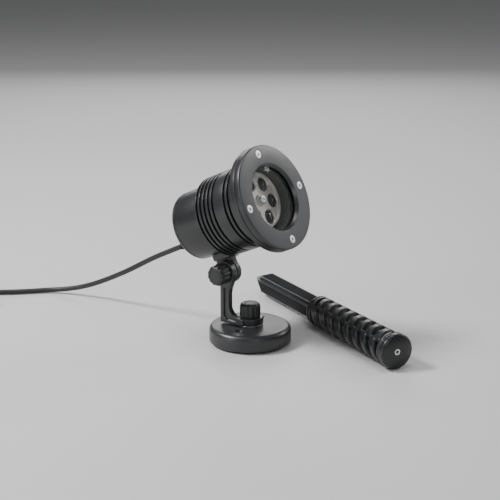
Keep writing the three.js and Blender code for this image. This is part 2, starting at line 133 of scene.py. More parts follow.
soft_light("key", (-0.75, 1.0, 1.5), (0.5, 0.36), 44)
soft_light("top", (0.1, 0.0, 1.9), (0.8, 0.8), 11)
soft_light("fill", (-1.3, -1.7, 1.1), (0.8, 0.8), 7)
soft_light("face_card", (1.5, -1.1, 0.62), (1.1, 0.9), 3.5)
soft_light("high_card", (1.5, -0.72, 0.98), (0.35, 0.45), 6)
soft_light("back_card", (1.5, 1.15, 0.75), (1.4, 0.5), 9)
soft_light("side_strip", (-1.5, 0.6, 0.5), (0.2, 1.2), 7)
world = bpy.data.worlds.new("studio")
world.use_nodes = True
world.node_tree.nodes["Background"].inputs["Color"].default_value = [*rgb("dcdde0"), 1]
world.node_tree.nodes["Background"].inputs["Strength"].default_value = 0.2
bpy.context.scene.world = world

# ---------------------------------------------------------------- mains lead
# A round two-core rubber lead, 5.6 mm thick and about 3 m long. It leaves the strain relief, sags to
# the floor and runs off in a loose curve; the rest is wound in a coil, three turns wide, five high.
LEAD_RADIUS, LEAD_SIDES = 2.8, 14
LEAD_STEP = 3.0  # along the lead, from one ring of points to the next
LEAD_ROUTE = [
    (0, 88.95, 86), (0.6, 102.8, 79.4), (2, 130.2, 65.9), (4, 169.1, 43.9), (6, 200.4, 28.4),
    (8, 222.5, 18.3), (7, 241.3, 11.2), (3, 263, 5.3), (-3.7, 281.1, 3.2), (-14, 290.9, 3),
    (-26.3, 301.6, 3), (-44.4, 322.6, 3), (-64.5, 348.7, 3),
]  # fmt: skip
COIL_CENTRE = (-110, 341)
COIL_START, COIL_LEAVE = 38, 160  # degrees round the coil
RING_RADII = np.array([40.6, 34.85, 29.1])
LAYER_HEIGHTS = np.array([3, 8.7, 14.4, 20.1, 25.8])
# Each turn's place in the bundle, as (ring, layer), in the order in which it is wound.
TURNS = [(0, 0), (1, 0), (2, 0), (2, 1), (2, 2), (2, 3), (2, 4), (1, 4), (0, 4), (0, 3), (1, 3),
         (1, 2), (0, 2), (0, 1)]  # fmt: skip
TURN_RUN = 320  # degrees in one place before the lead has moved to the next
TURN_SHIFT = 100  # degrees over which it moves
TURN_STEP = 5.0  # degrees between the points of a turn
TAIL_RADIUS, TAIL_START, TAIL_RUN, TAIL_HEIGHT = 40.6, 14, 36, 6.9
leave = math.radians(COIL_LEAVE)
TAIL_OUT = np.array([math.cos(leave), math.sin(leave), 0])
TAIL_ALONG = np.array([-math.sin(leave), math.cos(leave), 0])
SOFTENING = 24  # passes that round the joins of the route, the turns and the tail


def evenly(curve, step):
    """The same line with its samples a constant distance apart, measured along it."""
    along = np.concatenate([[0], np.cumsum(np.linalg.norm(np.diff(curve, axis=0), axis=1))])
    wanted = np.linspace(0, along[-1], round(along[-1] / step) + 1)
    return np.column_stack([np.interp(wanted, along, curve[:, k]) for k in range(3)])


def softened(curve, passes):
    """Each inner point moves halfway to the middle of its neighbours, so joins become bends."""
    for _ in range(passes):
        curve[1:-1] = 0.5 * curve[1:-1] + 0.25 * (curve[:-2] + curve[2:])
    return curve


def wound_turns():
    """Turns about the coil's centre: radius and height hold a place, then ease to the next one's."""
    last_run = (COIL_LEAVE - COIL_START - TURN_RUN * (len(TURNS) - 1)) % 360
    swept = np.arange(0, TURN_RUN * (len(TURNS) - 1) + last_run, TURN_STEP)
    place = np.minimum((swept // TURN_RUN).astype(int), len(TURNS) - 1)
    following = np.minimum(place + 1, len(TURNS) - 1)
    moved = np.clip((swept - TURN_RUN * (place + 1)) / TURN_SHIFT + 1, 0, 1)
    moved = (1 - np.cos(np.pi * moved)) / 2
    ring, layer = np.array(TURNS).T
    radius = RING_RADII[ring[place]] * (1 - moved) + RING_RADII[ring[following]] * moved
    height = LAYER_HEIGHTS[layer[place]] * (1 - moved) + LAYER_HEIGHTS[layer[following]] * moved
    angle = np.radians(COIL_START + swept)
    flat = [COIL_CENTRE[0] + radius * np.cos(angle), COIL_CENTRE[1] + radius * np.sin(angle)]
    return np.column_stack([*flat, height])


def lead_line():
    """The whole centreline, in millimetres: the free route, the coil's turns, the tail to the plug."""
    runs = np.linspace(TAIL_START, TAIL_RUN, 5)[:, None]
    flat_tail = np.array(COIL_CENTRE) + TAIL_RADIUS * TAIL_OUT[:2] + runs * TAIL_ALONG[:2]
    tail = np.column_stack([flat_tail, np.full(len(runs), TAIL_HEIGHT)])
    line = evenly(np.vstack([np.array(LEAD_ROUTE, float), wound_turns(), tail]), LEAD_STEP)
    return evenly(softened(line, SOFTENING), LEAD_STEP)


def tube_rings(path, radius, sides):
    """Rings of points square to a path, each ring's first direction carried on from the last one's
    by taking away what lies along the path, so the tube doesn't twist."""
    ahead = np.gradient(path, axis=0)
    ahead /= np.linalg.norm(ahead, axis=1)[:, None]
    side = np.empty_like(path)
    side[0] = np.cross(ahead[0], (0, 0, 1))
    for i in range(len(path)):
        carried = side[max(i - 1, 0)] - ahead[i] * (side[max(i - 1, 0)] @ ahead[i])
        side[i] = carried / np.linalg.norm(carried)
    other = np.cross(ahead, side)
    turn = np.linspace(0, 2 * np.pi, sides, endpoint=False)
    return path[:, None] + radius * (
        np.cos(turn)[None, :, None] * side[:, None] + np.sin(turn)[None, :, None] * other[:, None]
    )


def grid_faces(rows, columns, wrap):
    """Quads between neighbouring rows of a grid of points. With wrap, the last column is joined to
    the first."""
    row, column = np.meshgrid(np.arange(rows - 1), np.arange(columns if wrap else columns - 1))
    row, column = row.ravel(), column.ravel()
    beside = (column + 1) % columns
    return np.column_stack([
        row * columns + column, row * columns + beside,
        (row + 1) * columns + beside, (row + 1) * columns + column,
    ])  # fmt: skip


SHARP_ANGLE = 35  # degrees between two faces, from which their edge is shaded sharp


def piece(name, points, faces, body, finish, sharp=SHARP_ANGLE):
    """A new piece from points in millimetres: doubles merged, faces turned outwards, smooth up to
    an angle between faces, riding on a CAD body unless that is None."""
    mesh = bpy.data.meshes.new(name)
    mesh.from_pydata((np.asarray(points).reshape(-1, 3) * MM).tolist(), [], [list(f) for f in faces])
    work = bmesh.new()
    work.from_mesh(mesh)
    bmesh.ops.remove_doubles(work, verts=work.verts, dist=2e-7)
    bmesh.ops.dissolve_degenerate(work, edges=work.edges, dist=1e-7)
    loose = [edge for edge in work.edges if not edge.link_faces]
    bmesh.ops.delete(work, geom=loose, context="EDGES")
    bmesh.ops.recalc_face_normals(work, faces=work.faces)
    work.to_mesh(mesh)
    work.free()
    mesh.shade_smooth()
    mesh.set_sharp_from_angle(angle=math.radians(sharp))
    mesh.materials.append(finish)
    made = bpy.data.objects.new(name, mesh)
    bpy.context.collection.objects.link(made)
    if body:
        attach(made, body)
    return made


def uneven_shine(made, pattern, low, high):
    """Lets a pattern swing the roughness between two values."""
    spread = node(made, "MapRange", {"To Min": low, "To Max": high}, Value=pattern)
    wire(made, spread.outputs["Result"], "Roughness")


def pressed_in(made, pattern, strength, depth):
    """Presses a pattern into the surface, on top of any that is already pressed into it."""
    normal = made.node_tree.nodes["Principled BSDF"].inputs["Normal"]
    under = {"Normal": normal.links[0].from_socket} if normal.is_linked else {}
    bump = node(made, "Bump", {"Strength": strength, "Distance": depth}, Height=pattern, **under)
    wire(made, bump.outputs["Normal"], "Normal")


def lead_rubber():
    """Black rubber sheath: dull, with faint cloudy wear and a skin of fine pits half a millimetre
    apart."""
    made = material("black_rubber_sheath", "232325", 0.5)
    place = node(made, "TexCoord").outputs["Object"]
    cloud = node(made, "TexNoise", {"Scale": 60.0, "Detail": 4.0}, Vector=place)
    skin = node(made, "TexNoise", {"Scale": 2200.0, "Detail": 2.0}, Vector=place)
    uneven_shine(made, cloud.outputs["Fac"], 0.42, 0.6)
    pressed_in(made, skin.outputs["Fac"], 0.25, 0.0002)
    return made


sheath = lead_rubber()
lead_path = lead_line()
lead_rings = tube_rings(lead_path, LEAD_RADIUS, LEAD_SIDES)
last_ring = LEAD_SIDES * (len(lead_path) - 1)
lead_ends = [list(range(LEAD_SIDES)), list(range(last_ring, last_ring + LEAD_SIDES))]
lead_faces = [*grid_faces(len(lead_path), LEAD_SIDES, True), *lead_ends]
lead = piece("mains_lead", lead_rings, lead_faces, None, sheath, 60)
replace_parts(lead, "power_lead", "lead_coil", "lead_tail")
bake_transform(lead)

# ---------------------------------------------------------------- disc base
# A cast aluminium cup, 84 mm across, in fine black powder coat, with a well rounded upper edge. Two
# countersunk holes go through it, so it can be screwed down, and a rubber pad fills its underside.
BASE_RADIUS, BASE_FLOOR, BASE_TOP, BASE_WEB = 42, 1.8, 18.3, 13.3
BASE_EDGE = 5
HOLE_RADIUS, SINK_RADIUS = 2.2, 4.2
MOUNT_HOLES = [(24.5, 9), (24.5, 189)]  # distance from the centre and angle in degrees
UPRIGHT = np.eye(3)


def rounded(corners, steps=5):
    """A closed outline from corners (radius, along) or (radius, along, rounding): a rounded corner
    becomes an arc that touches both of its sides."""
    outline = []
    for i, corner in enumerate(corners):
        here = np.array(corner[:2], float)
        if len(corner) < 3:
            outline.append(here)
            continue
        back = np.array(corners[i - 1][:2]) - here
        ahead = np.array(corners[(i + 1) % len(corners)][:2]) - here
        back, ahead = back / np.linalg.norm(back), ahead / np.linalg.norm(ahead)
        half = np.arccos(np.clip(back @ ahead, -1, 1)) / 2
        centre = here + (back + ahead) / np.linalg.norm(back + ahead) * corner[2] / math.sin(half)
        reach = corner[2] / math.tan(half)
        first, last = here + back * reach - centre, here + ahead * reach - centre
        sweep = math.pi - 2 * half
        t = np.linspace(0, 1, steps + 1)[:, None]
        arc = (np.sin((1 - t) * sweep) * first + np.sin(t * sweep) * last) / math.sin(sweep)
        outline.extend(centre + arc)
    return np.array(outline)


def turned_piece(name, corners, body, finish, axes=UPRIGHT, centre=(0, 0, 0), sides=128):
    """A turned piece from its corner list, the outline closed unless it starts on the axis."""
    outline = rounded(corners)
    if outline[0][0] > 0:
        outline = np.vstack([outline, outline[:1]])
    turn = np.linspace(0, 2 * np.pi, sides + 1)[:, None]
    spoke = np.cos(turn) * axes[0] + np.sin(turn) * axes[1]
    points = outline[None, :, :1] * spoke[:, None] + outline[None, :, 1:] * axes[2]
    faces = grid_faces(sides + 1, len(outline), False)
    return piece(name, points + np.asarray(centre, float), faces, body, finish)


def reshaped(target, operation, tools):
    """Cuts closed tools out of a piece, or joins them to it, and takes the tools away."""
    for tool in tools:
        change = target.modifiers.new("change", "BOOLEAN")
        change.operation, change.object, change.solver = operation, tool, "EXACT"
    return settled(target, tools)


def settled(target, tools=()):
    """Makes a piece's modifiers part of its mesh."""
    shown = target.evaluated_get(bpy.context.evaluated_depsgraph_get())
    mesh = bpy.data.meshes.new_from_object(shown)
    target.modifiers.clear()
    target.data = mesh
    for tool in tools:
        bpy.data.objects.remove(tool)
    mesh.shade_smooth()
    mesh.set_sharp_from_angle(angle=math.radians(SHARP_ANGLE))
    return target


def round_point(radius, degrees):
    """The point at an angle round a circle."""
    return radius * math.cos(math.radians(degrees)), radius * math.sin(math.radians(degrees))


def powder_coat(name, colour, roughness):
    """Baked powder coat: a satin skin with an orange-peel swell about 1.5 mm across, fine grain at
    0.3 mm, and a slightly uneven shine."""
    made = material(name, colour, roughness, Coat_Weight=0.15, Coat_Roughness=0.3)
    place = node(made, "TexCoord").outputs["Object"]
    peel = node(made, "TexNoise", {"Scale": 650.0, "Detail": 2.0}, Vector=place)
    grain = node(made, "TexNoise", {"Scale": 3300.0, "Detail": 1.0}, Vector=place)
    cloud = node(made, "TexNoise", {"Scale": 45.0, "Detail": 3.0}, Vector=place)
    uneven_shine(made, cloud.outputs["Fac"], roughness - 0.06, roughness + 0.08)
    pressed_in(made, peel.outputs["Fac"], 0.12, 0.0004)
    pressed_in(made, grain.outputs["Fac"], 0.1, 0.0001)
    return made


def moulded_rubber():
    """Black moulded rubber: dull and slightly dusty, with cloudy shine."""
    made = material("black_moulded_rubber", "1c1c1d", 0.8)
    place = node(made, "TexCoord").outputs["Object"]
    cloud = node(made, "TexNoise", {"Scale": 120.0, "Detail": 5.0}, Vector=place)
    uneven_shine(made, cloud.outputs["Fac"], 0.68, 0.9)
    pressed_in(made, cloud.outputs["Fac"], 0.2, 0.0002)
    return made


def refinish(finish, *nodes):
    """Gives their real surface to pieces that keep their CAD shape."""
    for name in nodes:
        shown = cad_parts[name]
        shown.data.materials.clear()
        shown.data.materials.append(finish)


black_coat = powder_coat("black_powder_coat", "2a2b2d", 0.36)
rubber = moulded_rubber()
base = turned_piece("base_casting", [
    (35, BASE_FLOOR), (BASE_RADIUS, BASE_FLOOR, 1.6), (BASE_RADIUS, BASE_TOP, BASE_EDGE),
    (0, BASE_TOP), (0, BASE_WEB), (35, BASE_WEB, 2),
], "base", black_coat, sides=192)  # fmt: skip
sinks = [
    turned_piece(f"sink_{i}", [
        (0, 10), (HOLE_RADIUS, 10), (HOLE_RADIUS, BASE_TOP - 2), (SINK_RADIUS, BASE_TOP),
        (SINK_RADIUS, 22), (0, 22),
    ], None, black_coat, centre=(*round_point(*hole), 0), sides=48)
    for i, hole in enumerate(MOUNT_HOLES)
]  # fmt: skip
reshaped(base, "DIFFERENCE", sinks)
# The countersinks' walls get a rougher coat in a darker colour than the base's: the darker colour is
# painted shade in the holes, since the real casting has the same powder coat there.
base.data.materials.append(powder_coat("rough_coat_painted_dark_as_shade_in_sinks", "141415", 0.85))
hole_axes = [np.array(round_point(*hole)) for hole in MOUNT_HOLES]
for face in base.data.polygons:
    place = np.array(face.center)[:2] / MM
    near = min(np.linalg.norm(place - axis) for axis in hole_axes) < SINK_RADIUS + 0.1
    face.material_index = int(near and abs(face.normal.z) < 0.95)
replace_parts(base, "base_disc")
refinish(rubber, "base_pad")

# ---------------------------------------------------------------- pan bolt and washer
# A zinc-plated M6 bolt stands up through the base, and a plain washer carries the bracket's foot.
def plated_steel():
    """Bright zinc plate on steel: a clean metal with faint directional scratches 0.2 mm apart."""
    made = material("zinc_plated_steel", "dcdddf", 0.3, 0.85)
    place = node(made, "TexCoord").outputs["Object"]
    stretched = node(made, "Mapping", {"Scale": (900.0, 4500.0, 900.0)}, Vector=place)
    scratches = node(made, "TexNoise", {"Scale": 1.0, "Detail": 3.0}, Vector=stretched.outputs[0])
    uneven_shine(made, scratches.outputs["Fac"], 0.24, 0.42)
    pressed_in(made, scratches.outputs["Fac"], 0.08, 0.0001)
    return made


plated = plated_steel()
refinish(plated, "pan_bolt", "tilt_bolt")
washer = turned_piece("foot_washer", [
    (3.6, 18.6), (12.5, 18.6, 0.3), (12.5, 19.6, 0.3), (3.6, 19.6),
], "base", plated)  # fmt: skip
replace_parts(washer, "pan_washer")

# ---------------------------------------------------------------- bracket arm
# A die-cast arm: a round foot on the base, an upright leg to one side of it with a sunk panel in its
# outer face, and a round ear at the top that the head tilts on. Its corners are softly rounded.
ARM_X = (-15, -8.7)
LEG_BACK, LEG_FRONT = 26.9, 16
FOOT_BOTTOM, FOOT_TOP = 19.9, 26.9
FOOT_RADIUS, EAR_RADIUS, SHANK_HOLE = 13.5, 12.2, 3.5
PIVOT = (0, 22.6, 72.3)
INSIDE_CORNER = 12
CASTING_GRAIN = 0.4
SIDEWAYS = np.array([(0, 1, 0), (0, 0, 1), (1, 0, 0)])  # turned or pressed along X


def slab(name, outline, axes, low, high):
    """A closed slab: an outline in the first two axes, carried from low to high along the third."""
    outline = np.asarray(outline, float)
    count = len(outline)
    flat = outline[:, :1] * axes[0] + outline[:, 1:] * axes[1]
    points = np.vstack([flat + low * axes[2], flat + high * axes[2]])
    sides = [(i, (i + 1) % count, count + (i + 1) % count, count + i) for i in range(count)]
    faces = [*sides, list(range(count)), list(range(count, 2 * count))]
    return piece(name, points, faces, None, black_coat)


def arc(centre, radius, start, end, steps=10):
    """Points along an arc, from one angle to another."""
    turn = np.radians(np.linspace(start, end, steps + 1))
    return [tuple(p) for p in np.column_stack([np.cos(turn), np.sin(turn)]) * radius + centre]


def rod(name, radius, low, high, axes, centre):
    """A plain closed cylinder, for joining on or for boring a hole."""
    corners = [(0, low), (radius, low), (radius, high), (0, high)]
    return turned_piece(name, corners, None, black_coat, axes, centre, 96)


def cast(target, grain, passes):
    """The soft skin of a die casting: the shape is remade in even facets the size of the grain, in
    millimetres, and a few smoothing passes round its edges."""
    remake = target.modifiers.new("remake", "REMESH")
    remake.mode, remake.voxel_size = "VOXEL", grain * MM
    relax = target.modifiers.new("relax", "SMOOTH")
    relax.factor, relax.iterations = 0.5, passes
    return settled(target)


def bracket_arm():
    """The leg, foot and ear joined, then the bores and the sunk panel cut, then softened."""
    corner = (LEG_FRONT - INSIDE_CORNER, FOOT_TOP + INSIDE_CORNER)
    leg = slab("bracket_arm", [
        (LEG_BACK, FOOT_BOTTOM), (LEG_BACK, PIVOT[2] - 6), (11.2, PIVOT[2] - 5),
        (12.6, PIVOT[2] - 10), (14.9, PIVOT[2] - 16), (LEG_FRONT, PIVOT[2] - 22),
        *arc(corner, INSIDE_CORNER, 0, -90), (-2, FOOT_TOP), (-2, FOOT_BOTTOM),
    ], SIDEWAYS, *ARM_X)  # fmt: skip
    ear = rod("ear", EAR_RADIUS, *ARM_X, SIDEWAYS, PIVOT)
    foot = rod("foot", FOOT_RADIUS, FOOT_BOTTOM, FOOT_TOP, UPRIGHT, (0, 0, 0))
    web = slab("web", [
        (ARM_X[0], 6), (-4, -2), (12, 5.6), (3, 13.1), (ARM_X[1], 24), (ARM_X[0], 24),
    ], UPRIGHT, FOOT_BOTTOM, FOOT_TOP)  # fmt: skip
    reshaped(leg, "UNION", [ear, foot, web])
    panel = slab("panel", [
        (LEG_BACK - 4.4, 57), (LEG_FRONT + 2, 57), *arc(corner, INSIDE_CORNER + 2, 0, -78),
        (8, 22.4), (18, 22.8), (LEG_BACK - 4.4, 27),
    ], SIDEWAYS, ARM_X[0] - 1, ARM_X[0] + 2)  # fmt: skip
    ear_bore = rod("ear_bore", SHANK_HOLE, ARM_X[0] - 1, ARM_X[1] + 1, SIDEWAYS, PIVOT)
    foot_bore = rod("foot_bore", SHANK_HOLE, FOOT_BOTTOM - 1, FOOT_TOP + 1, UPRIGHT, (0, 0, 0))
    reshaped(leg, "DIFFERENCE", [panel, ear_bore, foot_bore])
    return cast(leg, CASTING_GRAIN, 5)


arm = bracket_arm()
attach(arm, "arm")
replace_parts(arm, "arm")

# ---------------------------------------------------------------- clamping knobs
# Two moulded ABS knobs, 21 mm across, with a domed end, twelve soft flutes and a disc let into the
# end. One clamps the foot to the base and the other clamps the head to the arm's ear.
KNOB_RADIUS, KNOB_LENGTH = 10.7, 14
FLUTES, FLUTE_DEPTH = 12, 0.9
PAN_KNOB_UP, TILT_KNOB_ACROSS = 27.3, -15.6


def knob(name, axes, centre):
    """A turned knob whose side radius is drawn in by the flute depth times a narrow raised cosine of
    twelve turns, fading out to nothing on the domed end."""
    outline = rounded([
        (3.4, 0), (KNOB_RADIUS, 0, 0.6), (KNOB_RADIUS, KNOB_LENGTH, 3.8), (6.9, KNOB_LENGTH),
        (6.7, KNOB_LENGTH - 0.35), (6.3, KNOB_LENGTH - 0.35), (6.1, KNOB_LENGTH - 0.05),
        (0, KNOB_LENGTH), (0, 12.2), (3.4, 12.2),
    ], 10)  # fmt: skip
    outline = np.vstack([outline, outline[:1]])
    sides = 288
    turn = np.linspace(0, 2 * np.pi, sides + 1)[:, None]
    wave = (0.5 + 0.5 * np.cos(FLUTES * turn)) ** 1.6
    rim = np.clip((outline[:, 0] - 7.6) / 2.6, 0, 1) ** 1.5
    radius = outline[:, 0] - FLUTE_DEPTH * rim * wave
    spoke = np.cos(turn) * axes[0] + np.sin(turn) * axes[1]
    points = radius[..., None] * spoke[:, None] + outline[None, :, 1:] * axes[2]
    faces = grid_faces(sides + 1, len(outline), False)
    made = piece(name, points + np.asarray(centre, float), faces, name, black_abs)
    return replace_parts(made, name)


def moulded_plastic(name, colour, roughness, spark):
    """Spark-textured moulding: an even fine grain, with a soft low shine and slight cloudiness."""
    made = material(name, colour, roughness)
    place = node(made, "TexCoord").outputs["Object"]
    texture = node(made, "TexNoise", {"Scale": 1 / (spark * MM), "Detail": 2.0}, Vector=place)
    cloud = node(made, "TexNoise", {"Scale": 70.0, "Detail": 4.0}, Vector=place)
    uneven_shine(made, cloud.outputs["Fac"], roughness - 0.07, roughness + 0.09)
    pressed_in(made, texture.outputs["Fac"], 0.2, 0.0002)
    return made


black_abs = moulded_plastic("black_moulded_abs", "222324", 0.42, 0.35)
knob("pan_knob", UPRIGHT, (0, 0, PAN_KNOB_UP))
knob("tilt_knob", np.array([(0, 1, 0), (0, 0, 1), (-1, 0, 0)]), (TILT_KNOB_ACROSS, *PIVOT[1:]))

# ---------------------------------------------------------------- tilting lug
# A die-cast lug under the head: a tongue with a round eye that the tilt bolt goes through, and a
# saddle hollowed to the rear housing, held by two screws. A toothed washer keys it to the arm.
TILT = math.radians(24.2)
FACE_CENTRE = np.array([0, -31.05, 156.4])  # centre of the front flange's face
ACROSS = np.array([1.0, 0, 0])
UPWARDS = np.array([0, math.sin(TILT), math.cos(TILT)])
BACKWARDS = np.array([0, math.cos(TILT), -math.sin(TILT)])
HEAD = np.array([UPWARDS, ACROSS, BACKWARDS])  # turned along the head's axis
HEAD_SIDE = np.array([BACKWARDS, UPWARDS, ACROSS])  # turned or pressed along X, in the head's turn
LUG_X = (-7.1, -0.6)
PIVOT_BACK, PIVOT_DOWN = 83.4, -54.7  # the tilt axis behind the face and below the head's axis
REAR_RADIUS = 35.6


def in_head(across, back, up):
    """A point given in the head's own directions from the centre of its face."""
    return FACE_CENTRE + across * ACROSS + back * BACKWARDS + up * UPWARDS


def moved(made, by):
    """Shifts a piece's points by millimetres."""
    made.data.transform(Matrix.Translation(np.array(by, float) * MM))
    return made


def head_lug():
    """Eye, tongue and saddle joined, the saddle hollowed by the housing, and the whole softened."""
    pivot = in_head(0, PIVOT_BACK, PIVOT_DOWN)
    low, high = LUG_X
    made = turned_piece("lug_casting", [(3.4, low), (12.5, low), (12.5, high), (3.4, high)],
                        None, black_coat, HEAD_SIDE, pivot, 96)  # fmt: skip
    tongue = slab("tongue", [(-11, 6), (11, 6), (11, 17.5), (-11, 17.5)], HEAD_SIDE, *LUG_X)
    saddle = slab("saddle", [(-11, 13.7), (11, 13.7), (11, 24), (-11, 24)], HEAD_SIDE, -10, 11)
    reshaped(made, "UNION", [moved(tongue, pivot), moved(saddle, pivot)])
    housing = rod("housing", REAR_RADIUS + 0.35, 0, 150, HEAD, FACE_CENTRE)
    reshaped(made, "DIFFERENCE", [housing])
    return cast(made, CASTING_GRAIN, 4)


lug = head_lug()
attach(lug, "head")
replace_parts(lug, "head_lug")


WASHER_HOLE, WASHER_RADIUS, TEETH = 3.6, 11.5, 24


def toothed_washer():
    """A ring with radial teeth round its rim: the face towards the knob rises and falls there as a
    clipped wave, and is flat round the bolt."""
    sides, rings = 288, 9
    turn = np.linspace(0, 2 * np.pi, sides + 1)[:, None]
    radius = np.concatenate([
        [WASHER_HOLE], np.linspace(WASHER_HOLE, WASHER_RADIUS, rings), [WASHER_RADIUS],
    ])  # fmt: skip
    tooth = np.clip(1.6 * np.cos(TEETH * turn), -1, 1) * 0.5 + 0.5
    depth = np.where(radius > 6.5, -7.8 - 0.6 * tooth, -7.9)
    depth[:, 0] = depth[:, -1] = -7.4
    spoke = np.cos(turn) * SIDEWAYS[0] + np.sin(turn) * SIDEWAYS[1]
    points = radius[None, :, None] * spoke[:, None] + depth[..., None] * SIDEWAYS[2]
    points = np.concatenate([points, points[:, :1]], axis=1)
    faces = grid_faces(sides + 1, rings + 3, False)
    return piece("toothed_washer", points + np.array(PIVOT, float), faces, "head", plated, 25)


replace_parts(toothed_washer(), "tilt_rosette")
refinish(plated, "lug_screw_1", "lug_screw_2")

# ---------------------------------------------------------------- finned body
# The lamp body is turned from cast aluminium: a thick collar behind the front flange, two fin
# grooves, a plain band, five more grooves, and a bored front that is coated grey inside.
BODY_RADIUS, BODY_BACK = 41.8, 71
COLLAR_FRONT, COLLAR_BACK = 6.5, 13
FLANGE_RADIUS = 53.5
FIN_GROOVES = [26.4, 31.8, 47.2, 52.6, 58, 63.3, 68.4]
GROOVE_WIDTH, GROOVE_DEPTH = 2.4, 3.0
BORE_RADIUS, BORE_BACK = 32, 24


def turned_coat(name, colour, roughness, ring=0.45):
    """Satin coat over a turned surface: the tool's fine rings, spaced in millimetres, run round the
    head's axis and show faintly through it."""
    made = powder_coat(name, colour, roughness)
    place = node(made, "TexCoord").outputs["Object"]
    own = node(made, "Mapping", {"vector_type": "TEXTURE", "Location": tuple(FACE_CENTRE * MM),
                                 "Rotation": (-TILT, 0, 0)}, Vector=place)  # fmt: skip
    rings = node(made, "TexWave", {"wave_type": "RINGS", "rings_direction": "Y",
                                   "Scale": 2 * math.pi / (20 * ring * MM), "Distortion": 0.6},
                 Vector=own.outputs[0])  # fmt: skip
    pressed_in(made, rings.outputs["Fac"], 0.06, 0.0001)
    return made


def groove(middle):
    """The four corners of one square fin groove, its lips and floor slightly rounded."""
    half = GROOVE_WIDTH / 2
    floor_radius = BODY_RADIUS - GROOVE_DEPTH
    return [
        (BODY_RADIUS, middle - half, 0.35), (floor_radius, middle - half + 0.15, 0.5),
        (floor_radius, middle + half - 0.15, 0.5), (BODY_RADIUS, middle + half, 0.35),
    ]  # fmt: skip


def head_offset(face):
    """How far a face's middle lies behind the flange's face, and how far from the head's axis."""
    offset = np.array(face.center) / MM - FACE_CENTRE
    return offset @ BACKWARDS, math.hypot(offset[0], offset @ UPWARDS)


body_coat = turned_coat("satin_black_turned_coat", "1e1f21", 0.33)
bore_grey = turned_coat("grey_bore_coat", "505254", 0.4)
body = turned_piece("finned_body", [
    (36, COLLAR_FRONT), (FLANGE_RADIUS + 0.1, COLLAR_FRONT, 0.5),
    (FLANGE_RADIUS + 0.1, COLLAR_BACK, 1.8), (BODY_RADIUS, COLLAR_BACK, 2.2),
    *[corner for middle in FIN_GROOVES for corner in groove(middle)],
    (BODY_RADIUS, BODY_BACK, 0.8), (5, BODY_BACK), (5, 66), (37.5, 66), (37.5, BORE_BACK),
    (BORE_RADIUS, BORE_BACK, 0.4), (BORE_RADIUS, 8.6, 0.3), (36, 8.6),
], "head", body_coat, HEAD, FACE_CENTRE, 192)  # fmt: skip
body.data.materials.append(bore_grey)
for face in body.data.polygons:
    along, from_axis = head_offset(face)
    face.material_index = int(from_axis < BORE_RADIUS + 0.3 and 8 < along < BORE_BACK + 1)
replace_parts(body, "body_tube")

# ---------------------------------------------------------------- front flange, glass and gasket
# A turned aluminium ring, 107 mm across, clamps the window on its gasket with four countersunk
# socket screws. Its face is satin charcoal and its rim black like the body, and its mouth is
# chamfered down to a lip over the edge of the glass.
SCREW_CIRCLE, SCREW_TURN = 44.7, 4.3
KEY_FLATS = 2.5  # across the sockets of all the screws
flange_coat = turned_coat("satin_charcoal_turned_coat", "38393c", 0.3)
flange = turned_piece("flange_ring", [
    (34.6, 0, 0.4), (FLANGE_RADIUS, 0, 1.5), (FLANGE_RADIUS, 6.2, 0.4), (36, 6.2), (36, 3.2),
    (32, 3.2), (32, 2.6, 0.2),
], "head", flange_coat, HEAD, FACE_CENTRE, 224)  # fmt: skip


def spread_round(circle, first, count, up=0):
    """Points spread evenly round the head's axis, or round a line some way up from it."""
    spots = [round_point(circle, first + 360 / count * i) for i in range(count)]
    return [in_head(across, 0, height + up) for across, height in spots]


screw_places = spread_round(SCREW_CIRCLE, SCREW_TURN, 4)
sinks = [
    turned_piece(f"screw_sink_{i}", [
        (0, -1), (4.4, -1), (4.4, 0.2), (2.2, 2.6), (2.2, 8), (0, 8),
    ], None, flange_coat, HEAD, place, 64)
    for i, place in enumerate(screw_places)
]  # fmt: skip
reshaped(flange, "DIFFERENCE", sinks)
flange.data.materials.append(body_coat)
for face in flange.data.polygons:
    along, from_axis = head_offset(face)
    face.material_index = int(from_axis > FLANGE_RADIUS - 0.35 and along > 1)
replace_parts(flange, "front_flange")


def socket_cutter(depth, place):
    """A six-sided plug that cuts a screw's key socket, down to a depth behind its place."""
    outline = [round_point(KEY_FLATS / math.sqrt(3), 60 * i + 20) for i in range(6)]
    return moved(slab("socket", outline, HEAD, -2, depth), place)


for i, place in enumerate(screw_places):
    screw = turned_piece(f"countersunk_screw_{i + 1}", [
        (0, 0.3), (4.0, 0.3, 0.15), (4.0, 0.6), (1.8, 2.8), (1.8, 11.6), (0, 11.6),
    ], "head", plated, HEAD, place, 64)  # fmt: skip
    reshaped(screw, "DIFFERENCE", [socket_cutter(2.1, place)])
    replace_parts(screw, f"flange_screw_{i + 1}")


def window_pane():
    """Clear toughened glass, thin enough to look straight through, with a sharp reflection."""
    return material("clear_toughened_glass", "1c2022", 0.02, Alpha=0.1, Specular_IOR_Level=0.8)


pane = turned_piece("window_pane", [
    (0, 3.5), (35.6, 3.5, 0.3), (35.6, 6, 0.3), (0, 6),
], "head", window_pane(), HEAD, FACE_CENTRE, 160)  # fmt: skip
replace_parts(pane, "window_glass")
gasket = turned_piece("window_seal", [
    (32.2, 6.3, 0.4), (35.6, 6.3, 0.4), (35.6, 8.3, 0.4), (32.2, 8.3, 0.4),
], "head", rubber, HEAD, FACE_CENTRE, 160)  # fmt: skip
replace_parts(gasket, "window_gasket")

# ---------------------------------------------------------------- lens wheel
# A silver-lacquered moulding, 58 mm across, turned slowly by a small motor. It has a raised rim, a
# hub and six holes, each with a dark domed lens pressed in, and a bright screw holds the hub.
WHEEL_UP = 2
LENS_CIRCLE, LENS_TURN, LENS_RADIUS = 19.5, 49, 6.9
wheel_axis = in_head(0, 0, WHEEL_UP)


